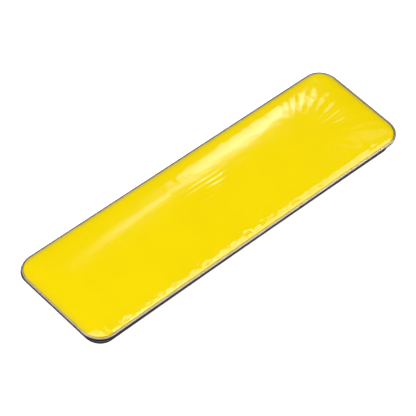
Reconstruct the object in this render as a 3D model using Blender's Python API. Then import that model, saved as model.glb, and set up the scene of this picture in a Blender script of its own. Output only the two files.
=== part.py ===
"""Squeegee applicator: a long padded hand tool that presses sign vinyl down.

A yellow slip film is stretched over a crowned foam pad and turned under a stiff board. The pad sits in
a shallow pressed tray behind a slim retaining frame, and rivets hold the tray on a base plate with a
ribbed rubber grip let into its underside.

Metres, +Z up. The origin is on the surface that the tool lies on, under its middle. X runs along the
tool and Y across it.
"""

import math

import bmesh
import bpy

# Driving dimensions
LENGTH = 0.250
WIDTH = 0.070
CORNER_RADIUS = 0.0125
CROWN_TOP = 0.0076  # highest point of the film
RIM_TOP = 0.0039  # top edge of the tray's wall
SHEET = 0.0005  # the tray's sheet metal
FILM = 0.00025
GAP = 0.0003  # between pieces that touch, or that glue holds together
CORNER_STEPS = 10  # segments in a quarter turn of a corner

# Heights, from the bottom of the stack to the top
GRIP_TOP = 0.0007
BASE_BOTTOM = 0.0003
BASE_TOP = 0.0019
TRAY_BOTTOM = BASE_TOP + GAP
TRAY_FLOOR = TRAY_BOTTOM + SHEET
HEM_BOTTOM = TRAY_FLOOR + GAP
HEM_TOP = HEM_BOTTOM + FILM
TAPE_TOP = HEM_TOP
BOARD_BOTTOM = HEM_TOP + GAP
BOARD_TOP = BOARD_BOTTOM + 0.0009
FOAM_BOTTOM = BOARD_TOP + GAP

# Distances inwards from the outside of the tray's wall
FRAME_OUTER = SHEET + GAP
FRAME_INNER = FRAME_OUTER + 0.0008
FILM_SIDE = FRAME_INNER + GAP
BOARD_SIDE = FILM_SIDE + FILM + GAP
FOAM_SIDE = BOARD_SIDE + 0.0005
HEM_INNER = 0.0090
TAPE_SIDE = HEM_INNER + 0.0005

# Base plate and grip
BASE_START = 0.0010  # how far inside the tray's -X end the plate starts
BASE_STOP = 0.0083  # how far short of the tray's +X end it stops
BASE_CORNER_RADIUS = 0.0100
BASE_WAIST = 0.0004  # how far each long side bows in at the middle
BASE_EDGE = 0.00025  # chamfer on the plate's edges
GRIP_HALF_LENGTH = 0.105
GRIP_HALF_WIDTH = 0.0165
GRIP_RADIUS = 0.005
GROOVE_PITCH = 0.006
GROOVE_WIDTH = 0.0012
GROOVE_DEPTH = 0.00035

# Rivets, in two rows: their places along X, and each row's distance from the middle
RIVET_XS = (-0.105, 0, 0.105)
RIVET_Y = 0.021
SHANK_RADIUS = 0.0015
HEAD_RADIUS = 0.0032
FORMED_HEAD_RADIUS = 0.0026
FORMED_HEAD_HEIGHT = 0.0006
COUNTERBORE_TOP = 0.0012
RIVET_BOTTOM = BASE_BOTTOM + 0.00005
CLEARANCE = FORMED_HEAD_RADIUS + 2 * GAP  # radius of the holes over the formed heads
ROUND_STEPS = 24
OVERCUT = 0.001  # how far a cutter runs past the faces that it opens

# Crown of the pad
SHOULDER_RISE = 0.0009  # quick rise just inside the foam's edge
SHOULDER_LENGTH = 0.0015
CROWN_POWER = 3.0
CORNER_EASING = 0.35  # how much rounder each level line's corners get per metre of inset
RIDGE_HALF_WIDTH = 0.0004
LEVELS = 9
LEVEL_SPACING = 1.8  # above 1 it sets the level lines closer together near the edge


def clear_scene():
    for thing in list(bpy.data.objects):
        bpy.data.objects.remove(thing, do_unlink=True)


def material(name, colour, roughness, metallic=0.0):
    made = bpy.data.materials.new(name)
    made.use_nodes = True
    shader = made.node_tree.nodes["Principled BSDF"]
    shader.inputs["Base Color"].default_value = (*colour, 1.0)
    shader.inputs["Roughness"].default_value = roughness
    shader.inputs["Metallic"].default_value = metallic
    return made


def arc(centre, radii, start, end, steps):
    """Points of an elliptical arc in the (inset, height) plane, angles in degrees."""
    points = []
    for step in range(steps + 1):
        angle = math.radians(start + (end - start) * step / steps)
        points.append((centre[0] + radii[0] * math.cos(angle), centre[1] + radii[1] * math.sin(angle)))
    return points


def outline(half_x, half_y, radius, z, waist=0.0, side_steps=1):
    """A rounded rectangle seen from above, anticlockwise, whose long sides bow in by waist."""
    points = []
    corners = ((1, 1, 0), (-1, 1, 90), (-1, -1, 180), (1, -1, 270))
    for sign_x, sign_y, start in corners:
        centre = (sign_x * (half_x - radius), sign_y * (half_y - radius))
        points += [(x, y, z) for x, y in arc(centre, (radius, radius), start, start + 90, CORNER_STEPS)]
        if sign_x == sign_y:  # a long side follows this corner
            straight = half_x - radius
            for step in range(1, side_steps):
                x = sign_x * straight * (1 - 2 * step / side_steps)
                bow = waist * (1 - (x / straight) ** 2)
                points.append((x, sign_y * (half_y - bow), z))
    return points


def tray_outline(inset, z):
    """The tray's outline, that far inside the outside of its wall."""
    return outline(LENGTH / 2 - inset, WIDTH / 2 - inset, CORNER_RADIUS - inset, z)


def crown_outline(inset, z):
    """A level line of the crowned pad: it rounds off towards a stadium as it climbs."""
    half_y = WIDTH / 2 - inset
    radius = CORNER_RADIUS - FOAM_SIDE + CORNER_EASING * (inset - FOAM_SIDE)
    return outline(LENGTH / 2 - inset, half_y, min(radius, 0.98 * half_y), z)


def crown_height(inset):
    """Height of the film's outer face at that inset, from the foam's edge to the ridge."""
    edge = BOARD_TOP + GAP + FILM
    inside = inset - FOAM_SIDE
    span = WIDTH / 2 - FOAM_SIDE
    shoulder = SHOULDER_RISE * (1 - math.exp(-inside / SHOULDER_LENGTH))
    rise = CROWN_TOP - edge - SHOULDER_RISE
    return edge + shoulder + rise * (1 - (1 - inside / span) ** CROWN_POWER)


def crown_insets():
    """Insets of the pad's level lines, from its edge to its ridge."""
    span = WIDTH / 2 - FOAM_SIDE - RIDGE_HALF_WIDTH
    return [FOAM_SIDE + span * (level / LEVELS) ** LEVEL_SPACING for level in range(1, LEVELS + 1)]


def solid(name, loops, finish, ring=False):
    """One closed object from level loops of equal length: capped at both ends, or joined into a ring."""
    mesh = bmesh.new()
    rows = [[mesh.verts.new(point) for point in loop] for loop in loops]
    pairs = list(zip(rows, rows[1:]))
    if ring:
        pairs.append((rows[-1], rows[0]))
    else:
        mesh.faces.new(rows[0])
        mesh.faces.new(rows[-1])
    for lower, upper in pairs:
        count = len(lower)
        for i in range(count):
            j = (i + 1) % count
            mesh.faces.new((lower[i], lower[j], upper[j], upper[i]))
    bmesh.ops.recalc_face_normals(mesh, faces=mesh.faces)
    data = bpy.data.meshes.new(name)
    mesh.to_mesh(data)
    mesh.free()
    data.shade_smooth()
    data.set_sharp_from_angle(angle=math.radians(35))
    data.materials.append(finish)
    made = bpy.data.objects.new(name, data)
    bpy.context.scene.collection.objects.link(made)
    return made


def turned(name, profile, finish):
    """A solid of revolution about its own Z axis, from (radius, height) points, both ends capped."""
    loops = []
    for radius, z in profile:
        turns = [2 * math.pi * step / ROUND_STEPS for step in range(ROUND_STEPS)]
        loops.append([(radius * math.cos(turn), radius * math.sin(turn), z) for turn in turns])
    return solid(name, loops, finish)


def cut(target, cutter):
    """Takes the cutter out of the target, and keeps the cutter out of the model."""
    cutter.hide_render = True
    cutter.display_type = "WIRE"
    boolean = target.modifiers.new("cut_" + cutter.name, "BOOLEAN")
    boolean.operation = "DIFFERENCE"
    boolean.solver = "EXACT"
    boolean.object = cutter


def rivet_places():
    return [(x, y) for x in RIVET_XS for y in (-RIVET_Y, RIVET_Y)]


def cut_turned_holes(target, profile, finish):
    """Cuts a hole of that (radius, height) profile at each rivet."""
    for number, (x, y) in enumerate(rivet_places(), 1):
        cutter = turned(f"{target.name}_hole_{number}", profile, finish)
        cutter.location = (x, y, 0)
        cut(target, cutter)


def cut_straight_holes(target, radius, bottom, top, finish):
    """Cuts a straight hole through a layer, from its bottom to its top, at each rivet."""
    cut_turned_holes(target, [(radius, bottom - OVERCUT), (radius, top + OVERCUT)], finish)


def make_grip_sheet(finish):
    half = (GRIP_HALF_LENGTH, GRIP_HALF_WIDTH)
    edge = 0.0001
    loops = [
        outline(half[0] - edge, half[1] - edge, GRIP_RADIUS - edge, 0),
        outline(*half, GRIP_RADIUS, edge),
        outline(*half, GRIP_RADIUS, GRIP_TOP),
    ]
    sheet = solid("grip_sheet", loops, finish)
    # Grooves run across the sheet, on both sides of a rib at its middle.
    count = int(GRIP_HALF_LENGTH / GROOVE_PITCH)
    for number in range(-count, count):
        x = (number + 0.5) * GROOVE_PITCH
        reach = GRIP_HALF_WIDTH + OVERCUT
        box = [
            [(x + i * GROOVE_WIDTH / 2, j * reach, z) for i, j in ((1, 1), (-1, 1), (-1, -1), (1, -1))]
            for z in (-OVERCUT, GROOVE_DEPTH)
        ]
        cut(sheet, solid(f"groove_{number + count}", box, finish))


def make_base_plate(finish):
    """A plate with a pocket for the grip. The tray overhangs it, most of all at its +X end."""
    half_x = (LENGTH - BASE_START - BASE_STOP) / 2
    half_y = WIDTH / 2
    middle = (BASE_START - BASE_STOP) / 2

    def level(inset, z):
        size = (half_x - inset, half_y - inset, BASE_CORNER_RADIUS - inset)
        points = outline(*size, z, waist=BASE_WAIST, side_steps=12)
        return [(x + middle, y, z) for x, y, z in points]

    def pocket(z):
        size = (GRIP_HALF_LENGTH + GAP, GRIP_HALF_WIDTH + GAP, GRIP_RADIUS + GAP)
        return outline(*size, z, side_steps=12)

    loops = [
        pocket(GRIP_TOP + GAP),
        pocket(BASE_BOTTOM),
        level(BASE_EDGE, BASE_BOTTOM),
        level(0, BASE_BOTTOM + BASE_EDGE),
        level(0, BASE_TOP - BASE_EDGE / 2),
        level(BASE_EDGE / 2, BASE_TOP),
    ]
    plate = solid("base_plate", loops, finish)
    bore = SHANK_RADIUS + GAP
    counterbore = HEAD_RADIUS + GAP
    profile = [
        (counterbore, BASE_BOTTOM - OVERCUT),
        (counterbore, COUNTERBORE_TOP),
        (bore, COUNTERBORE_TOP),
        (bore, BASE_TOP + OVERCUT),
    ]
    cut_turned_holes(plate, profile, finish)


def make_tray_pan(finish):
    bend = 0.0006
    lip = SHEET / 2
    profile = arc((bend, TRAY_BOTTOM + bend), (bend, bend), 270, 180, 4)
    profile += arc((lip, RIM_TOP - lip), (lip, lip), 180, 0, 6)
    inner_bend = 0.00025
    profile += arc((SHEET + inner_bend, TRAY_FLOOR + inner_bend), (inner_bend, inner_bend), 180, 270, 3)
    tray = solid("tray_pan", [tray_outline(inset, z) for inset, z in profile], finish)
    cut_straight_holes(tray, SHANK_RADIUS + GAP, TRAY_BOTTOM, TRAY_FLOOR, finish)


def make_retaining_frame(finish):
    """A slim bead, round on top, that fills the channel between the tray's wall and the pad."""
    half = (FRAME_INNER - FRAME_OUTER) / 2
    crest = 0.0005
    above_rim = 0.0002
    profile = [(FRAME_INNER, HEM_BOTTOM), (FRAME_OUTER, HEM_BOTTOM)]
    profile += arc((FRAME_OUTER + half, RIM_TOP + above_rim - crest), (half, crest), 180, 0, 8)
    loops = [tray_outline(inset, z) for inset, z in profile]
    solid("retaining_frame", loops, finish, ring=True)


def make_pad_tape(finish):
    loops = [tray_outline(TAPE_SIDE, z) for z in (HEM_BOTTOM, TAPE_TOP)]
    tape = solid("pad_tape", loops, finish)
    cut_straight_holes(tape, CLEARANCE, HEM_BOTTOM, TAPE_TOP, finish)


def make_pad_board(finish):
    edge = 0.0003
    profile = [
        (BOARD_SIDE + edge / 2, BOARD_BOTTOM),
        (BOARD_SIDE, BOARD_BOTTOM + edge / 2),
    ]
    profile += arc((BOARD_SIDE + edge, BOARD_TOP - edge), (edge, edge), 180, 90, 3)
    board = solid("pad_board", [tray_outline(inset, z) for inset, z in profile], finish)
    cut_straight_holes(board, CLEARANCE, BOARD_BOTTOM, BOARD_TOP, finish)


def make_foam_pad(finish):
    below_film = FILM + GAP
    inwards = 0.0002  # keeps the foam off the film where the crown is steep
    loops = [crown_outline(FOAM_SIDE + inwards, FOAM_BOTTOM)]
    for inset in crown_insets():
        loops.append(crown_outline(inset + inwards, crown_height(inset) - below_film))
    solid("foam_pad", loops, finish)


def make_film_cover(finish):
    """A skin that is open below: its outer and inner faces meet at the hem's inner edge."""
    bend = 0.00055
    corner_z = BOARD_TOP + GAP + FILM
    outer = [tray_outline(HEM_INNER, HEM_BOTTOM)]
    side = arc((FILM_SIDE + bend, HEM_BOTTOM + bend), (bend, bend), 270, 180, 3)
    side += arc((FILM_SIDE + bend, corner_z - bend), (bend, bend), 180, 90, 4)
    outer += [tray_outline(inset, z) for inset, z in side]
    outer += [crown_outline(inset, crown_height(inset)) for inset in crown_insets()]

    inner = [crown_outline(inset, crown_height(inset) - FILM) for inset in reversed(crown_insets())]
    inside = FILM_SIDE + FILM
    bend -= FILM
    side = arc((inside + bend, corner_z - FILM - bend), (bend, bend), 90, 180, 3)
    side += arc((inside + bend, HEM_TOP + bend), (bend, bend), 180, 270, 2)
    inner += [tray_outline(inset, z) for inset, z in side]
    inner.append(tray_outline(HEM_INNER, HEM_TOP))
    solid("film_cover", outer[::-1] + inner[::-1], finish)


def make_rivet(number, x, y, finish):
    dome = 0.0002
    head_top = COUNTERBORE_TOP - GAP
    formed = TRAY_FLOOR + GAP
    profile = [
        (HEAD_RADIUS - 2 * dome, RIVET_BOTTOM),
        (HEAD_RADIUS, RIVET_BOTTOM + dome),
        (HEAD_RADIUS, head_top),
        (SHANK_RADIUS, head_top),
        (SHANK_RADIUS, formed),
    ]
    profile += arc((0, formed), (FORMED_HEAD_RADIUS, FORMED_HEAD_HEIGHT), 0, 75, 4)
    rivet = turned(f"rivet_{number}", profile, finish)
    rivet.location = (x, y, 0)


def main():
    clear_scene()
    yellow_film = material("yellow_film", (0.93, 0.68, 0.01), 0.3)
    foam = material("white_foam", (0.80, 0.80, 0.77), 0.9)
    board = material("grey_board", (0.35, 0.34, 0.33), 0.8)
    tape = material("clear_tape", (0.75, 0.72, 0.65), 0.5)
    bead = material("satin_aluminium", (0.62, 0.60, 0.62), 0.35, 1.0)
    gunmetal = material("gunmetal", (0.06, 0.055, 0.06), 0.35, 0.6)
    base = material("black_base", (0.035, 0.035, 0.04), 0.3)
    rubber = material("grip_rubber", (0.03, 0.03, 0.03), 0.8)
    steel = material("rivet_steel", (0.55, 0.55, 0.55), 0.35, 1.0)

    make_grip_sheet(rubber)
    make_base_plate(base)
    make_tray_pan(gunmetal)
    make_retaining_frame(bead)
    make_pad_tape(tape)
    make_pad_board(board)
    make_foam_pad(foam)
    make_film_cover(yellow_film)
    for number, (x, y) in enumerate(rivet_places(), 1):
        make_rivet(number, x, y, steel)


main()
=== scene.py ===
"""Looks for the squeegee applicator: its stretched film, pressed metal, moulded base and studio.

Metres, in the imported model's frame: X runs along the tool, Y across it, +Z up, and the tool lies on
Z = 0. Sizes come from the frame's boxes and the few dimensions below.
"""

import math

import bmesh
import bpy
import numpy as np
from mathutils import Matrix, Quaternion, Vector, noise


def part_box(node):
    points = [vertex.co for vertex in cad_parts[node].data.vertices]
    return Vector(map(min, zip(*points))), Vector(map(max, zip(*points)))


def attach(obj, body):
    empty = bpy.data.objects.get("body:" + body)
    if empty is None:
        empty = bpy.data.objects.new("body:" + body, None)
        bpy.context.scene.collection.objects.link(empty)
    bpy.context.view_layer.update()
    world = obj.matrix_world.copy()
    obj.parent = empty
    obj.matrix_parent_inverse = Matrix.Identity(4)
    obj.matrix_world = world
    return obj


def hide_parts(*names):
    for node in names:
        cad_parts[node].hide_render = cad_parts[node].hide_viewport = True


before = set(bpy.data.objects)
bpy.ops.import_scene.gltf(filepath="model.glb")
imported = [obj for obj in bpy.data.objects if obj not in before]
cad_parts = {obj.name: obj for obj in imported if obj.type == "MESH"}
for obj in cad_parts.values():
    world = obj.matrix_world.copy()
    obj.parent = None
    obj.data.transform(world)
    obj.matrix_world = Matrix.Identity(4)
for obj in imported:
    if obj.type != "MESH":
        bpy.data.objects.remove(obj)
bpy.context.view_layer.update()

# The CAD's boxes
TRAY_LOW, TRAY_HIGH = (Vector(corner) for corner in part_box("tray_pan"))
BASE_LOW, BASE_HIGH = (Vector(corner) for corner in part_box("base_plate"))
GRIP_HIGH = Vector(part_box("grip_sheet")[1])
FILM_LOW, FILM_HIGH = (Vector(corner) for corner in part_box("film_cover"))
BOARD_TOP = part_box("pad_board")[1][2]
HALF_X = TRAY_HIGH.x
HALF_Y = TRAY_HIGH.y
RIM_TOP = TRAY_HIGH.z
CROWN_TOP = FILM_HIGH.z

# Metal, film and edges
CORNER_RADIUS = 0.0125
SHEET = 0.0005
FILM = 0.00015
BEAD_WIDTH = 0.0008
BEAD_ABOVE_RIM = 0.00005
FIT = 0.00004  # between pieces that press on each other
BASE_CORNER_RADIUS = 0.0100
BASE_WAIST = 0.0004
BASE_FILLET = 0.00015

# Rivets and grip
SHANK_RADIUS = 0.0015
FORMED_HEAD_RADIUS = 0.0026
HEAD_ROOM = 0.0002  # round a rivet's head in its counterbore
HEAD_DIMPLE = ((0.0006, 0.00012), (0.0009, 0.00003))  # (radius, depth), from the middle out
COUNTERBORE_TOP = 0.0012
GRIP_RADIUS = 0.005
GROOVE_PITCH = 0.006
GROOVE_HALF_WIDTH = 0.0007
GROOVE_DEPTH = 0.0004
GROOVE_DROP = 0.00005  # how far a groove's cutter is centred below the grip's underside

# Meshing
CORNER_STEPS = 16  # segments in a quarter turn of a corner
LONG_SIDE_STEPS = 60
SHORT_SIDE_STEPS = 16
ROUND_STEPS = 48
SHARP_ANGLE = math.radians(40)
OVERCUT = 0.001  # how far a cutter runs past the faces that it opens

# The film over the pad
PAD_SHIFT = (-0.0007, -0.0003)  # the pad leans slightly off the tray's middle
PAD_TURN = -0.0006  # and is very slightly turned
BULGE_INSET = SHEET + 0.8 * BEAD_WIDTH  # the pad swells as far as the bead
END_ROOM = 0.0002  # the pad is that much shorter still at each end
TUCK = 0.0004  # from the swell back in to the film's side, inside the bead
# How the film turns in to the bead: (distance in from the swell, height above the rim)
TURN_IN = ((0.00008, 0.00030), (0.00020, 0.00018), (0.00035, 0.00006), (TUCK, -0.00015))
BULGE_Z = RIM_TOP + 0.00045
SHOULDER_WIDTH = 0.0012
SHOULDER_HEIGHT = 0.00065
BROW_HEIGHT = 0.0009  # of the rounding inside the shoulder
BROW_WIDTH = 0.0028
CROWN_POWER_ACROSS = 2.8  # a higher power makes a flatter top with steeper sides
CROWN_POWER_ALONG = 9
CLOTH_FRAMES = 20
CLOTH_SHARE = 0.4  # how much of the simulated movement the film keeps
SHOULDER_TURN = math.radians(55)  # of the shoulder's quarter ellipse, from the top's edge down
TOP_INSET = BULGE_INSET + SHOULDER_WIDTH * (1 - math.cos(SHOULDER_TURN))
# Half sides and corner radius of the film's top, inside the shoulder
TOP_SIZE = (HALF_X - TOP_INSET - END_ROOM, HALF_Y - TOP_INSET, CORNER_RADIUS - TOP_INSET)
TOP_EDGE_Z = BULGE_Z + SHOULDER_HEIGHT * math.sin(SHOULDER_TURN)
CREST_ROOM = 0.00008  # left under the CAD's top for wrinkles
FOAM_BELOW_FILM = FILM + 0.00015
FOLD_ROOM = 0.00025  # more room under the film's folds
CELL = 0.0016  # size of the simulated film's cells
HEM_WIDTH = 0.0070
HEM_BEND = 0.0004
FAN_CENTRE = (0.068, 0.0)  # the folds at the +X end spread from here
FAN_FOLDS = 38  # in a whole turn
FAN_HEIGHT = 0.00007
PLEAT_PITCH = 0.0047
PLEAT_HEIGHT = 0.00008
DRAWN_PLACE = (0.0008, 0.0062)  # a patch of fine drawn lines near the tool's middle
DRAWN_SIZE = (0.025, 0.012)
DRAWN_TURN = math.radians(1)
DRAWN_PITCH = 0.0031
DRAWN_HEIGHT = 0.00010
PUCKER_HEIGHT = 0.00026
CREASE_DEPTH = 0.00005
DAPPLE_HEIGHT = 0.00004

# Studio
FLOOR_SIZE = 12
FLOOR_DROP = 0.0002  # below the tool, so that the two never share a plane
FLOOR_GLOW = 0.55
LENS = 197.1
CAMERA_SIDE = (-0.5165, -0.3925, 0.7610)  # from the tool towards the camera
CAMERA_AIM = (-0.0060, -0.0003, -0.0003)
CAMERA_DISTANCE = 1.3115
CAMERA_ROLL = math.radians(11.13)


def smooth_step(low, high, value):
    t = np.clip((value - low) / (high - low), 0, 1)
    return t * t * (3 - 2 * t)


# Mesh tools


def ellipse(centre, radii, start, end, steps):
    """Points along an elliptical arc from angle start to angle end, in degrees."""
    turns = np.radians(np.linspace(start, end, steps + 1))
    return [(centre[0] + radii[0] * math.cos(t), centre[1] + radii[1] * math.sin(t)) for t in turns]


def rounded_outline(half_x, half_y, radius, waist=0.0):
    """(x, y) points of a rounded rectangle, anticlockwise; waist bows its long sides in."""
    points = []
    corners = ((1, 1, 0), (-1, 1, 90), (-1, -1, 180), (1, -1, 270))
    straight_x = half_x - radius
    straight_y = half_y - radius
    for sign_x, sign_y, start in corners:
        centre = (sign_x * straight_x, sign_y * straight_y)
        points += ellipse(centre, (radius, radius), start, start + 90, CORNER_STEPS)
        along_x = sign_x == sign_y
        steps = LONG_SIDE_STEPS if along_x else SHORT_SIDE_STEPS
        for step in range(1, steps):
            t = 1 - 2 * step / steps
            if along_x:
                points.append((sign_x * straight_x * t, sign_y * (half_y - waist * (1 - t * t))))
            else:
                points.append((sign_x * half_x, sign_y * straight_y * t))
    return points


def tray_loop(inset, z):
    """A level loop, that far inside the outside of the tray's wall."""
    points = rounded_outline(HALF_X - inset, HALF_Y - inset, CORNER_RADIUS - inset)
    return [(x, y, z) for x, y in points]


def mesh_object(name, verts, faces, finish):
    data = bpy.data.meshes.new(name)
    data.from_pydata([tuple(v) for v in verts], [], faces)
    made = bpy.data.objects.new(name, data)
    bpy.context.scene.collection.objects.link(made)
    mesh = bmesh.new()
    mesh.from_mesh(data)
    bmesh.ops.recalc_face_normals(mesh, faces=mesh.faces)
    mesh.to_mesh(data)
    mesh.free()
    data.shade_smooth()
    data.set_sharp_from_angle(angle=SHARP_ANGLE)
    data.materials.append(finish)
    return made


def loft(name, loops, finish, ring=False):
    """A closed surface from loops of equal length: capped at both ends, or joined into a ring."""
    count = len(loops[0])
    verts = [point for loop in loops for point in loop]
    faces = []
    rows = list(range(len(loops)))
    pairs = list(zip(rows, rows[1:]))
    if ring:
        pairs.append((rows[-1], rows[0]))
    else:
        faces.append(list(range(count)))
        faces.append(list(range((len(loops) - 1) * count, len(loops) * count)))
    for low, high in pairs:
        for i in range(count):
            j = (i + 1) % count
            faces.append((low * count + i, low * count + j, high * count + j, high * count + i))
    return mesh_object(name, verts, faces, finish)


def apply_modifiers(obj):
    """Turns the evaluated shape into the object's own mesh."""
    evaluated = obj.evaluated_get(bpy.context.evaluated_depsgraph_get())
    data = bpy.data.meshes.new_from_object(evaluated)
    obj.modifiers.clear()
    old = obj.data
    obj.data = data
    bpy.data.meshes.remove(old)


def cut(target, cutters):
    for cutter in cutters:
        boolean = target.modifiers.new(cutter.name, "BOOLEAN")
        boolean.operation = "DIFFERENCE"
        boolean.solver = "EXACT"
        boolean.object = cutter
    apply_modifiers(target)
    for cutter in cutters:
        bpy.data.objects.remove(cutter, do_unlink=True)
    target.data.shade_smooth()
    target.data.set_sharp_from_angle(angle=SHARP_ANGLE)


def turned(name, profile, finish, axis):
    """A solid of revolution from (radius, height) points, about a vertical axis."""
    turns = [2 * math.pi * (step + 0.5) / ROUND_STEPS for step in range(ROUND_STEPS)]
    loops = [
        [(axis.x + r * math.cos(t), axis.y + r * math.sin(t), z) for t in turns]
        for r, z in profile
    ]
    return loft(name, loops, finish)


# Materials


class Finish:
    """A Principled material with short calls for the nodes that its detail is made of."""

    def __init__(self, name, colour, roughness, metallic=0.0, specular=0.5):
        self.material = bpy.data.materials.new(name)
        self.material.use_nodes = True
        self.tree = self.material.node_tree
        self.shader = self.tree.nodes["Principled BSDF"]
        self.shader.inputs["Base Color"].default_value = (*colour, 1)
        self.shader.inputs["Roughness"].default_value = roughness
        self.shader.inputs["Metallic"].default_value = metallic
        self.shader.inputs["Specular IOR Level"].default_value = specular
        self.place = self.tree.nodes.new("ShaderNodeTexCoord").outputs["Object"]

    def node(self, kind, inputs=(), **settings):
        made = self.tree.nodes.new(kind)
        for key, value in settings.items():
            setattr(made, key, value)
        for key, value in dict(inputs).items():
            if isinstance(value, bpy.types.NodeSocket):
                self.tree.links.new(value, made.inputs[key])
            else:
                made.inputs[key].default_value = value
        return made

    def stretched(self, scale):
        inputs = {"Vector": self.place, "Scale": scale}
        return self.node("ShaderNodeMapping", inputs).outputs["Vector"]

    def noise(self, scale, detail=3.0, stretch=None, roughness=0.5):
        vector = self.stretched(stretch) if stretch else self.place
        inputs = {"Vector": vector, "Scale": scale, "Detail": detail, "Roughness": roughness}
        return self.node("ShaderNodeTexNoise", inputs).outputs["Fac"]

    def remap(self, value, low, high, from_low=0.3, from_high=0.7):
        inputs = {"Value": value, "From Min": from_low, "From Max": from_high}
        inputs |= {"To Min": low, "To Max": high}
        return self.node("ShaderNodeMapRange", inputs).outputs["Result"]

    def mix(self, factor, first, second):
        made = self.node("ShaderNodeMix", {"Factor": factor}, data_type="RGBA")
        for index, value in ((6, first), (7, second)):
            if isinstance(value, bpy.types.NodeSocket):
                self.tree.links.new(value, made.inputs[index])
            else:
                made.inputs[index].default_value = (*value, 1)
        return made.outputs[2]

    def math(self, operation, first, second):
        made = self.node("ShaderNodeMath", {0: first, 1: second}, operation=operation)
        return made.outputs[0]

    def height(self):
        return self.node("ShaderNodeSeparateXYZ", {"Vector": self.place}).outputs["Z"]

    def link(self, socket, value):
        self.tree.links.new(value, self.shader.inputs[socket])

    def bump(self, layers):
        """Each layer is (height, distance in metres, strength), the broadest first."""
        normal = None
        for height, distance, strength in layers:
            inputs = {"Height": height, "Distance": distance, "Strength": strength}
            if normal:
                inputs["Normal"] = normal
            normal = self.node("ShaderNodeBump", inputs).outputs["Normal"]
        self.link("Normal", normal)


def painted_edge_shade(finish, x, y):
    """How much painted shade darkens the film where it curves away from the light: most along its far
    side and +X end, less at its -X end.
    """
    far = finish.remap(y, 0, 1, HALF_Y - 0.0045, HALF_Y - 0.0015)
    right = finish.remap(x, 0, 1, HALF_X - 0.0055, HALF_X - 0.0020)
    left = finish.remap(x, 0.5, 0, 0.0008 - HALF_X, 0.0038 - HALF_X)
    edge = finish.math("MAXIMUM", finish.math("MAXIMUM", far, right), left)
    return finish.math("MULTIPLY", edge, finish.remap(finish.noise(300, 3), 0.35, 0.75))


def film_finish():
    """Glossy yellow slip film, faintly mottled and hazed, finely grained, with painted shade along
    its edges.
    """
    finish = Finish("yellow_film_look", (0.80, 0.61, 0.001), 0.14, specular=0.5)
    x, y, _ = finish.node("ShaderNodeSeparateXYZ", {"Vector": finish.place}).outputs
    mottle = finish.remap(finish.noise(55, 3), 0, 1)
    yellow = finish.mix(mottle, (0.79, 0.60, 0.001), (0.81, 0.62, 0.001))
    # painted shade: the film's colour darkens towards olive along its far side and both ends
    finish.link("Base Color", finish.mix(painted_edge_shade(finish, x, y), yellow, (0.48, 0.38, 0.05)))
    haze = finish.noise(30, 4, stretch=(0.6, 1.6, 1))
    finish.link("Roughness", finish.remap(haze, 0.075, 0.125))
    grain = finish.noise(900, 2, stretch=(0.5, 1.2, 1))
    waves = finish.noise(70, 2)
    finish.bump([(waves, 0.0002, 0.15), (grain, 0.00002, 0.2)])
    return finish.material


def painted_rim_light(finish):
    """1 where the rim gets a painted highlight, along its near side and its -X end, falling to 0
    opposite, where it is left in painted shade.
    """
    x, y, _ = finish.node("ShaderNodeSeparateXYZ", {"Vector": finish.place}).outputs
    near = finish.remap(y, 1, 0, HALF_Y - 0.006, HALF_Y - 0.002)
    end = finish.remap(x, 1, 0, HALF_X - 0.014, HALF_X - 0.004)
    return finish.math("MULTIPLY", near, end)


def tray_finish():
    """Dark anodised sheet metal whose rim is rubbed down to bright metal, with a painted highlight
    that keeps the bare rim brighter along its near side and -X end than opposite.
    """
    finish = Finish("tray_look", (0.076, 0.067, 0.081), 0.35, specular=0.3)
    blotch = finish.remap(finish.noise(120, 4), 0, 1)
    dark = finish.mix(blotch, (0.060, 0.053, 0.064), (0.092, 0.082, 0.098))
    rubbed = finish.remap(finish.height(), 0, 1, RIM_TOP - 0.00032, RIM_TOP - 0.00012)
    broken = finish.math("MULTIPLY", rubbed, finish.remap(finish.noise(400, 3), 0.75, 1))
    # painted highlight: the bare rim keeps full brightness along the near side and -X end and is
    # dimmed opposite
    broken = finish.math("MULTIPLY", broken, finish.remap(painted_rim_light(finish), 0.4, 1, 0, 1))
    finish.link("Base Color", finish.mix(broken, dark, (0.62, 0.51, 0.46)))
    finish.link("Metallic", finish.math("MULTIPLY", broken, 0.55))
    finish.link("Roughness", finish.remap(finish.noise(500, 3, stretch=(0.2, 1, 3)), 0.28, 0.45))
    finish.bump([(finish.noise(1500, 3, stretch=(0.1, 1, 1)), 0.00002, 0.2)])
    return finish.material


def bead_finish():
    """Satin bare aluminium, drawn along its length, with painted light: bright along the near side
    and -X end, painted dark as shade opposite.
    """
    finish = Finish("bead_look", (0.70, 0.64, 0.48), 0.4, metallic=0.55)
    streaks = finish.remap(finish.noise(300, 4, stretch=(0.3, 1, 1)), 0, 1)
    bright = finish.mix(streaks, (0.62, 0.57, 0.43), (0.76, 0.70, 0.53))
    # painted light and shade: the bead's colour is bright along the near side and -X end and painted
    # dark opposite
    finish.link("Base Color", finish.mix(painted_rim_light(finish), (0.26, 0.23, 0.17), bright))
    finish.link("Roughness", finish.remap(finish.noise(600, 3, stretch=(0.2, 1, 1)), 0.34, 0.5))
    finish.bump([(finish.noise(1200, 2, stretch=(0.1, 1, 1)), 0.00002, 0.2)])
    return finish.material


def base_finish():
    """Black moulded plastic with a fine spark-eroded texture."""
    finish = Finish("base_look", (0.09, 0.09, 0.10), 0.3, specular=0.2)
    blotch = finish.remap(finish.noise(60, 4), 0, 1)
    finish.link("Base Color", finish.mix(blotch, (0.075, 0.075, 0.084), (0.110, 0.110, 0.122)))
    finish.link("Roughness", finish.remap(finish.noise(200, 4), 0.24, 0.4))
    finish.bump([(finish.noise(2500, 2), 0.00003, 0.25)])
    return finish.material


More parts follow.
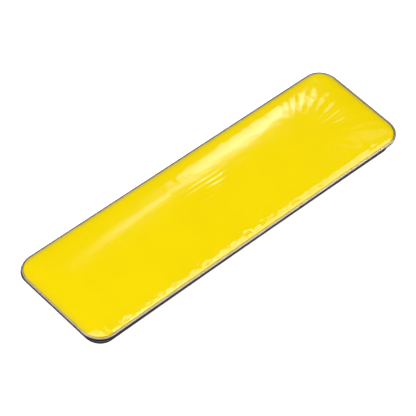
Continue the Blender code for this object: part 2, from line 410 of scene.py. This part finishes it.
def rubber_finish():
    finish = Finish("rubber_look", (0.028, 0.027, 0.027), 0.75, specular=0.3)
    dust = finish.remap(finish.noise(90, 6), 0, 1, 0.45, 0.75)
    finish.link("Base Color", finish.mix(dust, (0.020, 0.020, 0.020), (0.050, 0.048, 0.045)))
    finish.link("Roughness", finish.remap(finish.noise(300, 4), 0.65, 0.85))
    finish.bump([(finish.noise(1800, 3), 0.00005, 0.4)])
    return finish.material


def steel_finish():
    """Plain steel with the turning marks of a formed head."""
    finish = Finish("rivet_look", (0.50, 0.50, 0.51), 0.32, metallic=1.0)
    stain = finish.remap(finish.noise(500, 4), 0, 1)
    finish.link("Base Color", finish.mix(stain, (0.40, 0.40, 0.41), (0.58, 0.58, 0.58)))
    finish.link("Roughness", finish.remap(finish.noise(900, 4), 0.25, 0.42))
    finish.bump([(finish.noise(2500, 2), 0.00002, 0.2)])
    return finish.material


def foam_finish():
    """White closed-cell foam."""
    finish = Finish("foam_look", (0.80, 0.80, 0.77), 0.9, specular=0.2)
    inputs = {"Vector": finish.place, "Scale": 1400.0}
    cells = finish.node("ShaderNodeTexVoronoi", inputs).outputs["Distance"]
    finish.link("Base Color", finish.mix(cells, (0.86, 0.86, 0.83), (0.70, 0.70, 0.67)))
    finish.link("Roughness", finish.remap(finish.noise(400), 0.85, 0.95))
    finish.bump([(cells, 0.0002, 0.6)])
    return finish.material


def board_finish():
    """Pressed fibreboard."""
    finish = Finish("board_look", (0.35, 0.34, 0.33), 0.8, specular=0.2)
    fibres = finish.remap(finish.noise(500, 6, stretch=(0.3, 1, 1)), 0, 1)
    finish.link("Base Color", finish.mix(fibres, (0.28, 0.27, 0.26), (0.42, 0.41, 0.39)))
    finish.link("Roughness", finish.remap(finish.noise(300), 0.75, 0.9))
    finish.bump([(fibres, 0.00008, 0.5)])
    return finish.material


def tape_finish():
    """Clear double-sided tape."""
    finish = Finish("tape_look", (0.75, 0.72, 0.65), 0.5)
    bubbles = finish.remap(finish.noise(250, 4), 0, 1)
    finish.link("Base Color", finish.mix(bubbles, (0.70, 0.67, 0.60), (0.80, 0.77, 0.70)))
    finish.link("Roughness", finish.remap(finish.noise(200), 0.4, 0.6))
    finish.bump([(bubbles, 0.00004, 0.4)])
    return finish.material


# The film


def corner_distance(x, y, half_x, half_y, radius):
    """How far each point is inside a rounded rectangle's edge."""
    over_x = np.maximum(np.abs(x) - (half_x - radius), 0)
    over_y = np.maximum(np.abs(y) - (half_y - radius), 0)
    in_corner = radius - np.hypot(over_x, over_y)
    in_side = np.minimum(half_x - np.abs(x), half_y - np.abs(y))
    return np.where((over_x > 0) & (over_y > 0), in_corner, in_side)


def crown(x, y, half_x, half_y):
    """The pad's broad rise, from 0 at its edge to 1 along its middle."""
    across = 1 - np.abs(y / half_y) ** CROWN_POWER_ACROSS
    along = 1 - np.abs(x / half_x) ** CROWN_POWER_ALONG
    return across * along


def film_grid(half_x, half_y, radius):
    """(x, y, faces, border) of a grid of quads in a rounded rectangle; border is in order."""
    nx = round(2 * half_x / CELL)
    ny = round(2 * half_y / CELL)
    gx, gy = np.meshgrid(np.linspace(-half_x, half_x, nx + 1), np.linspace(-half_y, half_y, ny + 1))
    p = np.clip((np.abs(gx) - (half_x - radius)) / radius, 0, 1)
    q = np.clip((np.abs(gy) - (half_y - radius)) / radius, 0, 1)
    corner = (p > 0) & (q > 0)
    x = np.where(corner, np.sign(gx) * (half_x - radius + radius * p * np.sqrt(1 - q * q / 2)), gx)
    y = np.where(corner, np.sign(gy) * (half_y - radius + radius * q * np.sqrt(1 - p * p / 2)), gy)
    index = np.arange((nx + 1) * (ny + 1)).reshape(ny + 1, nx + 1)
    faces = [
        (index[j, i], index[j, i + 1], index[j + 1, i + 1], index[j + 1, i])
        for j in range(ny)
        for i in range(nx)
    ]
    border = list(index[0, :-1]) + list(index[:-1, -1])
    border += list(index[-1, :0:-1]) + list(index[:0:-1, 0])
    return x.ravel(), y.ravel(), [tuple(map(int, face)) for face in faces], [int(b) for b in border]


def relax_film(obj, border):
    """Blows the pinned film up a little with Blender's cloth, so that its own tension shapes it."""
    group = obj.vertex_groups.new(name="pinned")
    group.add(border, 1.0, "REPLACE")
    cloth = obj.modifiers.new("cloth", "CLOTH")
    settings = cloth.settings
    settings.quality = 6
    settings.mass = 0.02
    settings.tension_stiffness = 15
    settings.compression_stiffness = 15
    settings.shear_stiffness = 5
    settings.bending_stiffness = 0.02
    settings.vertex_group_mass = "pinned"
    settings.use_pressure = True
    settings.uniform_pressure_force = 4
    settings.effector_weights.gravity = 0
    for number in range(1, CLOTH_FRAMES + 1):
        bpy.context.scene.frame_set(number)
    apply_modifiers(obj)
    bpy.context.scene.frame_set(1)
    obj.vertex_groups.clear()


def wrinkles(x, y):
    """Height of the small folds that fan out over the pad's +X end, where the film was gathered."""
    along = x - FAN_CENTRE[0]
    across = y - FAN_CENTRE[1]
    radius = np.hypot(along, across)
    angle = np.arctan2(across, along)
    wander = 0.35 * np.sin(3.1 * angle + 0.6) + 0.25 * np.sin(radius / 0.009 + 2.0 * angle)
    fold = np.cos(FAN_FOLDS * angle + wander)
    sharp = np.sign(fold) * np.abs(fold) ** 1.5
    strength = 0.65 + 0.35 * np.sin(5.3 * angle + 1.1) * np.cos(2.3 * angle + 0.4)
    reach = smooth_step(0.016, 0.032, radius) * smooth_step(-0.35, 0.55, np.cos(angle - 0.75))
    return FAN_HEIGHT * sharp * strength * reach


def ripples(x, y):
    """Slow unevenness of the stretched film."""
    slow = 0.00004 * np.sin(x / 0.021 + 1.3 * np.sin(y / 0.017)) * np.sin(y / 0.013 + 0.7)
    slow += 0.00003 * np.sin(x / 0.009 + 2.1) * np.sin(y / 0.011 + x / 0.05)
    return slow


def pleats(x, inside):
    """Small regular puckers along the pad's long edges, inside the shoulder, fainter towards +X."""
    wave = np.sin(2 * math.pi * x / PLEAT_PITCH + 0.8 * np.sin(x / 0.019))
    zone = smooth_step(-0.0005, 0.0015, inside) * smooth_step(0.0065, 0.0025, inside)
    return PLEAT_HEIGHT * (1 - 0.75 * smooth_step(0, 0.06, x)) * wave * zone


def uneven(x, y, waves_x, waves_y, octaves=1):
    """Smooth noise from -1 to 1 with that many waves a metre along X and along Y."""
    places = zip((x * waves_x).tolist(), (y * waves_y).tolist())
    return np.array([noise.fractal((px, py, 0.0), 1.0, 2.0, octaves) for px, py in places])


def drawn_lines(x, y):
    """Short parallel lines left where the film was drawn tight, in one oval patch."""
    x = x - DRAWN_PLACE[0]
    y = y - DRAWN_PLACE[1]
    along = x * math.cos(DRAWN_TURN) + y * math.sin(DRAWN_TURN)
    across = y * math.cos(DRAWN_TURN) - x * math.sin(DRAWN_TURN)
    fade = np.clip(1.25 * (1 - np.hypot(along / DRAWN_SIZE[0], across / DRAWN_SIZE[1])), 0, 1)
    wander = 2.2 * uneven(along, across, 45, 70)
    lines = np.cos(2 * math.pi * across / DRAWN_PITCH + wander)
    broken = np.clip(0.5 + 1.5 * uneven(along, across, 60, 250), 0, 1)
    return DRAWN_HEIGHT * fade * lines * broken


def puckers(x, y):
    """Small bumps along the near side, strongest towards the -X end."""
    edge = np.clip((0.009 - HALF_Y - y) / 0.005, 0, 1)
    strength = np.interp(x, (-0.01, 0.05), (1, 0.3))
    return PUCKER_HEIGHT * edge * strength * uneven(x, y, 230, 420)


def crease(x, y, inside):
    """A shallow groove that wanders along the near shoulder, from the middle to the +X end."""
    middle = 0.0021 + 0.0004 * np.sin(x / 0.015) + 0.0002 * np.sin(x / 0.008 + 1)
    reach = smooth_step(-0.02, 0.03, x) * (y < 0)
    return -CREASE_DEPTH * reach * np.exp(-(((inside - middle) / 0.0009) ** 2))


def dapple(x, y):
    """Broad shallow dimples, fading towards the -X end."""
    strength = np.interp(x, (-0.06, 0.01), (0.15, 1))
    return DAPPLE_HEIGHT * strength * uneven(x, y, 190, 133, octaves=2)


def coordinates(data):
    flat = np.empty(len(data.vertices) * 3)
    data.vertices.foreach_get("co", flat)
    return flat.reshape(-1, 3)


def set_coordinates(data, points):
    data.vertices.foreach_set("co", np.ascontiguousarray(points).ravel())
    data.update()


def outward(x, y, half_x, half_y, radius):
    """Unit directions straight out of a rounded rectangle's edge, at points on it."""
    over_x = np.sign(x) * np.maximum(np.abs(x) - (half_x - radius), 0)
    over_y = np.sign(y) * np.maximum(np.abs(y) - (half_y - radius), 0)
    length = np.maximum(np.hypot(over_x, over_y), 1e-9)
    return over_x / length, over_y / length


def settled(points):
    """The points where the pad ends up: the bead holds its foot, and above that it has moved."""
    x, y, z = points.T
    share = smooth_step(RIM_TOP - 0.0002, RIM_TOP + 0.0003, z)
    move_x = share * (PAD_SHIFT[0] - PAD_TURN * y)
    move_y = share * (PAD_SHIFT[1] + PAD_TURN * x)
    return np.column_stack([x + move_x, y + move_y, z])


def film_side():
    """(distance outside the top's border, height) down the shoulder and side and under the hem."""
    centre = (SHOULDER_WIDTH * math.cos(SHOULDER_TURN), 0)
    turn = math.degrees(SHOULDER_TURN)
    side = []
    for out, up in ellipse((0, 0), (SHOULDER_WIDTH, SHOULDER_HEIGHT), turn, 0, 6)[1:]:
        side.append((out - centre[0], BULGE_Z + up))
    widest = side[-1][0]
    tucked = widest - TUCK
    bend = HEM_BEND
    side += [(widest - inwards, RIM_TOP + up) for inwards, up in TURN_IN]
    side.append((tucked, FILM_LOW.z + bend))
    side += ellipse((tucked - bend, FILM_LOW.z + bend), (bend, bend), 0, -90, 4)[1:]
    side.append((tucked - HEM_WIDTH / 2, FILM_LOW.z))
    side.append((tucked - HEM_WIDTH, FILM_LOW.z))
    return side


def pad_top(finish):
    """(points, faces, border) of the film over the pad, up to the shoulder all round."""
    half_x, half_y, radius = TOP_SIZE
    x, y, faces, border = film_grid(half_x, half_y, radius)
    distance = corner_distance(x, y, half_x, half_y, radius)
    brow = BROW_HEIGHT * (1 - np.exp(-distance / BROW_WIDTH))
    crest = CROWN_TOP - TOP_EDGE_Z - BROW_HEIGHT
    start = np.column_stack([x, y, TOP_EDGE_Z + brow + crest * crown(x, y, half_x, half_y)])
    skin = mesh_object("film_top", start, faces, finish)
    relax_film(skin, border)
    points = start + CLOTH_SHARE * (coordinates(skin.data) - start)
    bpy.data.objects.remove(skin, do_unlink=True)
    rise = (CROWN_TOP - CREST_ROOM - TOP_EDGE_Z) / (points[:, 2].max() - TOP_EDGE_Z)
    points[:, 2] = TOP_EDGE_Z + (points[:, 2] - TOP_EDGE_Z) * rise
    return points, faces, border


def skirted(points, faces, border, side):
    """The top with rings added all round it; side gives each ring's (distance outside, height)."""
    edge = points[border]
    out_x, out_y = outward(edge[:, 0], edge[:, 1], *TOP_SIZE)
    verts = [Vector(point) for point in points]
    faces = list(faces)
    ring = list(border)
    for out, z in side:
        first = len(verts)
        for point, dx, dy in zip(edge, out_x, out_y):
            verts.append(Vector((point[0] + out * dx, point[1] + out * dy, z)))
        next_ring = list(range(first, len(verts)))
        for i in range(len(border)):
            j = (i + 1) % len(border)
            faces.append((ring[i], next_ring[i], next_ring[j], ring[j]))
        ring = next_ring
    return verts, faces, ring


def subdivided(obj):
    smooth = obj.modifiers.new("smooth", "SUBSURF")
    smooth.levels = 1
    smooth.render_levels = 1
    apply_modifiers(obj)


def make_film(top, finish):
    verts, faces, _ = skirted(*top, film_side())
    film = mesh_object("film_skin", verts, faces, finish)
    subdivided(film)
    points = coordinates(film.data)
    inside = corner_distance(points[:, 0], points[:, 1], *TOP_SIZE)
    on_top = smooth_step(-0.0010, 0.0030, inside) * (points[:, 2] > TOP_EDGE_Z - 0.0004)
    x = points[:, 0]
    y = points[:, 1]
    folds = wrinkles(x, y) + ripples(x, y) + pleats(x, inside)
    marks = drawn_lines(x, y) + puckers(x, y) + crease(x, y, inside) + dapple(x, y)
    points[:, 2] += on_top * (folds + marks)
    set_coordinates(film.data, settled(points))
    skin = film.modifiers.new("skin", "SOLIDIFY")
    skin.thickness = FILM
    skin.offset = -1
    apply_modifiers(film)
    film.data.shade_smooth()
    return film


def make_foam(top, finish):
    """The foam block inside the film, which it fills from side to side, on its flat underside."""
    points, faces, border = top
    inside = corner_distance(points[:, 0], points[:, 1], *TOP_SIZE)
    points = points.copy()
    points[:, 2] -= FOAM_BELOW_FILM + FOLD_ROOM * smooth_step(0, 0.004, inside)
    verts, faces, last = skirted(points, faces, border, [(-0.0003, BOARD_TOP + FIT)])
    faces.append(tuple(last))
    foam = mesh_object("foam_block", verts, faces, finish)
    set_coordinates(foam.data, settled(coordinates(foam.data)))
    return foam


def make_tray(finish):
    """Pressed sheet with a rolled bend at its foot and a rounded top edge."""
    low = TRAY_LOW.z
    bend = 0.0006
    lip = SHEET / 2
    profile = ellipse((bend, low + bend), (bend, bend), 270, 180, 8)
    profile += ellipse((lip, RIM_TOP - lip), (lip, lip), 180, 0, 12)
    inner = 0.00025
    profile += ellipse((SHEET + inner, low + SHEET + inner), (inner, inner), 180, 270, 5)
    tray = loft("tray", [tray_loop(inset, z) for inset, z in profile], finish)
    cut(tray, rivet_holes(SHANK_RADIUS + FIT, low - OVERCUT, low + SHEET + OVERCUT))
    return tray


def make_bead(finish):
    """The slim frame pressed between the tray's wall and the pad, with a rounded top."""
    outer = SHEET + FIT
    half = (BEAD_WIDTH - 2 * FIT) / 2
    crest = 0.0004
    low = FILM_LOW.z
    profile = [(outer + 2 * half, low), (outer, low)]
    profile += ellipse((outer + half, RIM_TOP + BEAD_ABOVE_RIM - crest), (half, crest), 180, 0, 12)
    return loft("bead", [tray_loop(inset, z) for inset, z in profile], finish, ring=True)


def rivet_places():
    """The middle of each rivet in the frame, by node name."""
    names = sorted(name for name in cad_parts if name.startswith("rivet_"))
    return {name: (Vector(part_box(name)[0]) + Vector(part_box(name)[1])) / 2 for name in names}


def rivet_holes(radius, low, high):
    """A straight cutter at each rivet."""
    profile = [(radius, low), (radius, high)]
    places = rivet_places().items()
    return [turned("hole_" + name, profile, None, middle) for name, middle in places]


def make_base(finish):
    """Moulded plate with rounded edges, waisted sides, a pocket for the grip and stepped holes."""
    half_x = (BASE_HIGH.x - BASE_LOW.x) / 2
    half_y = BASE_HIGH.y
    middle = (BASE_HIGH.x + BASE_LOW.x) / 2
    low = BASE_LOW.z
    high = BASE_HIGH.z

    def level(inset, z):
        size = (half_x - inset, half_y - inset, BASE_CORNER_RADIUS - inset)
        return [(x + middle, y, z) for x, y in rounded_outline(*size, waist=BASE_WAIST)]

    fillet = BASE_FILLET
    profile = ellipse((fillet, low + fillet), (fillet, fillet), 270, 180, 5)
    profile += ellipse((fillet, high - fillet), (fillet, fillet), 180, 90, 5)
    base = loft("base", [level(inset, z) for inset, z in profile], finish)
    margin = 0.00015
    pocket_size = (GRIP_HIGH.x + margin, GRIP_HIGH.y + margin, GRIP_RADIUS + margin)
    pocket_top = GRIP_HIGH.z + 0.00005
    pocket_outline = rounded_outline(*pocket_size)
    pocket = [[(x, y, z) for x, y in pocket_outline] for z in (low - OVERCUT, pocket_top)]
    head_radius = (Vector(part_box("rivet_1")[1]) - Vector(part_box("rivet_1")[0])).x / 2
    cutters = [loft("pocket", pocket, None)]
    cutters += rivet_holes(head_radius + HEAD_ROOM, low - OVERCUT, COUNTERBORE_TOP)
    cutters += rivet_holes(SHANK_RADIUS + FIT, low - OVERCUT, high + OVERCUT)
    cut(base, cutters)
    return base


def make_grip(finish):
    """Rubber sheet whose ribs are rounded, each with a shallow groove between it and the next."""
    half_x = GRIP_HIGH.x
    half_y = GRIP_HIGH.y
    edge = 0.0002
    profile = ellipse((edge, edge), (edge, edge), 270, 180, 3) + [(0, GRIP_HIGH.z)]
    loops = [
        [(x, y, z) for x, y in rounded_outline(half_x - inset, half_y - inset, GRIP_RADIUS - inset)]
        for inset, z in profile
    ]
    grip = loft("grip", loops, finish)
    groove_size = (GROOVE_HALF_WIDTH, GROOVE_DEPTH + GROOVE_DROP)
    count = int(half_x / GROOVE_PITCH)
    cutters = []
    for number in range(-count, count):
        x = (number + 0.5) * GROOVE_PITCH
        groove = ellipse((x, -GROOVE_DROP), groove_size, 0, 360, 16)[:-1]
        ends = [[(px, y, pz) for px, pz in groove] for y in (-half_y - OVERCUT, half_y + OVERCUT)]
        cutters.append(loft(f"groove_{number + count}", ends, None))
    cut(grip, cutters)
    return grip


def make_rivets(finish):
    """Flat heads with rounded rims and a shallow dimple below, and domed formed heads above."""
    rivets = []
    edge = 0.0002
    head_top = COUNTERBORE_TOP - FIT
    shank_top = TRAY_LOW.z + SHEET + FIT
    for name, middle in rivet_places().items():
        low, high = (Vector(corner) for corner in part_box(name))
        head = (high.x - low.x) / 2
        profile = [(radius, low.z + depth) for radius, depth in HEAD_DIMPLE]
        profile.append((head - 0.00045, low.z))
        profile += ellipse((head - edge, low.z + edge), (edge, edge), 270, 360, 4)
        profile += [(head, head_top), (SHANK_RADIUS, head_top), (SHANK_RADIUS, shank_top)]
        profile += ellipse((0, shank_top), (FORMED_HEAD_RADIUS, high.z - shank_top), 0, 75, 6)
        rivets.append(turned(f"{name}_turned", profile, finish, middle))
    return rivets


# Studio


def area_light(name, place, size, power, across=(1, 0, 0)):
    """A softbox that faces the tool; across is the direction that its longer side runs in."""
    data = bpy.data.lights.new(name, "AREA")
    data.shape = "RECTANGLE"
    data.size, data.size_y = size
    data.energy = power
    light = bpy.data.objects.new(name, data)
    light.location = place
    back = Vector(place).normalized()
    across = Vector(across)
    side = (across - across.dot(back) * back).normalized()
    light.rotation_euler = Matrix((side, back.cross(side), back)).transposed().to_euler()
    bpy.context.scene.collection.objects.link(light)
    return light


def make_floor():
    """A pale sweep, lit a little from below as a light table is, so that shadows stay faint."""
    finish = Finish("studio_floor", (0.93, 0.93, 0.93), 0.8, specular=0.1)
    pale = finish.mix(finish.noise(3), (0.925, 0.925, 0.925), (0.935, 0.935, 0.935))
    finish.link("Base Color", pale)
    finish.shader.inputs["Emission Color"].default_value = (1, 1, 1, 1)
    finish.shader.inputs["Emission Strength"].default_value = FLOOR_GLOW
    bpy.ops.mesh.primitive_plane_add(size=FLOOR_SIZE, location=(0, 0, -FLOOR_DROP))
    floor = bpy.context.object
    floor.name = "floor"
    floor.data.materials.append(finish.material)
    floor.visible_glossy = False
    floor.visible_diffuse = False


def make_world(brightness):
    world = bpy.data.worlds.new("studio")
    world.use_nodes = True
    background = world.node_tree.nodes["Background"]
    background.inputs["Color"].default_value = (1, 1, 1, 1)
    background.inputs["Strength"].default_value = brightness
    bpy.context.scene.world = world


def make_lights(lit_from_low):
    """Broad softboxes overhead, near and left, and small ones beyond the far side and the +X end.

    One low light fills the dark edges of the pieces in lit_from_low, and nothing else.
    """
    area_light("overhead", (-0.35, -0.15, 1.6), (1.9, 1.1), 23.5)
    area_light("near_panel", (1.21, -0.60, 1.6), (0.82, 1.3), 12)
    area_light("near_bar", (0.82, -0.60, 1.6), (0.04, 1.2), 1.6)
    low = area_light("near_wall", (0.55, -0.50, 0.2), (0.35, 0.2), 2.15)
    walls = bpy.data.collections.new("lit_from_low")
    for piece in lit_from_low:
        walls.objects.link(piece)
    low.light_linking.receiver_collection = walls
    area_light("left_panel", (-1.2, 0.35, 1.6), (1.1, 0.5), 15)
    area_light("far_strip", (0.765, 0.794, 1.1), (0.21, 0.023), 0.095, across=(0.90, 0.43, 0))
    area_light("far_tail", (0.575, 0.700, 1.1), (0.20, 0.010), 0.018, across=(0.86, 0.51, 0))
    area_light("far_panel", (0.98, 0.93, 1.1), (0.22, 0.18), 0.60, across=(0.90, 0.43, 0))
    area_light("far_haze", (0.93, 0.81, 1.1), (0.26, 0.08), 0.07, across=(0.90, 0.43, 0))
    area_light("end_panel", (1.037, 0.80, 1.1), (0.24, 0.055), 0.165, across=(0.82, -0.58, 0))
    area_light("end_glow", (1.14, 0.34, 1.1), (0.34, 0.24), 0.16)


def make_camera():
    """A long lens that looks down along the tool from its -X, -Y side, rolled a little."""
    data = bpy.data.cameras.new("camera")
    data.lens = LENS
    data.sensor_width = 36
    data.clip_start = 0.01
    camera = bpy.data.objects.new("camera", data)
    back = Vector(CAMERA_SIDE)
    camera.location = Vector(CAMERA_AIM) + CAMERA_DISTANCE * back
    roll = Quaternion((0, 0, 1), CAMERA_ROLL)
    camera.rotation_euler = (back.to_track_quat("Z", "Y") @ roll).to_euler()
    bpy.context.scene.collection.objects.link(camera)
    bpy.context.scene.camera = camera


def main():
    film_look = film_finish()
    top = pad_top(film_look)
    film = make_film(top, film_look)
    foam = make_foam(top, foam_finish())
    tray = make_tray(tray_finish())
    bead = make_bead(bead_finish())
    base = make_base(base_finish())
    grip = make_grip(rubber_finish())
    rivets = make_rivets(steel_finish())
    for piece, node, slot in (
        (film, "film_cover", "yellow_film"),
        (foam, "foam_pad", "white_foam"),
        (tray, "tray_pan", "tray_metal"),
        (bead, "retaining_frame", "frame_metal"),
        (base, "base_plate", "black_base"),
        (grip, "grip_sheet", "grip_rubber"),
    ):
        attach(piece, "root")
        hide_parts(node)
    for rivet in rivets:
        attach(rivet, "root")
        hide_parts(rivet.name.removesuffix("_turned"))
    for node, finish in (("pad_board", board_finish()), ("pad_tape", tape_finish())):
        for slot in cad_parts[node].material_slots:
            slot.material = finish
    make_floor()
    make_world(0.03)
    make_lights((tray, bead, base))
    make_camera()
    bpy.context.scene.view_settings.view_transform = "Standard"


main()
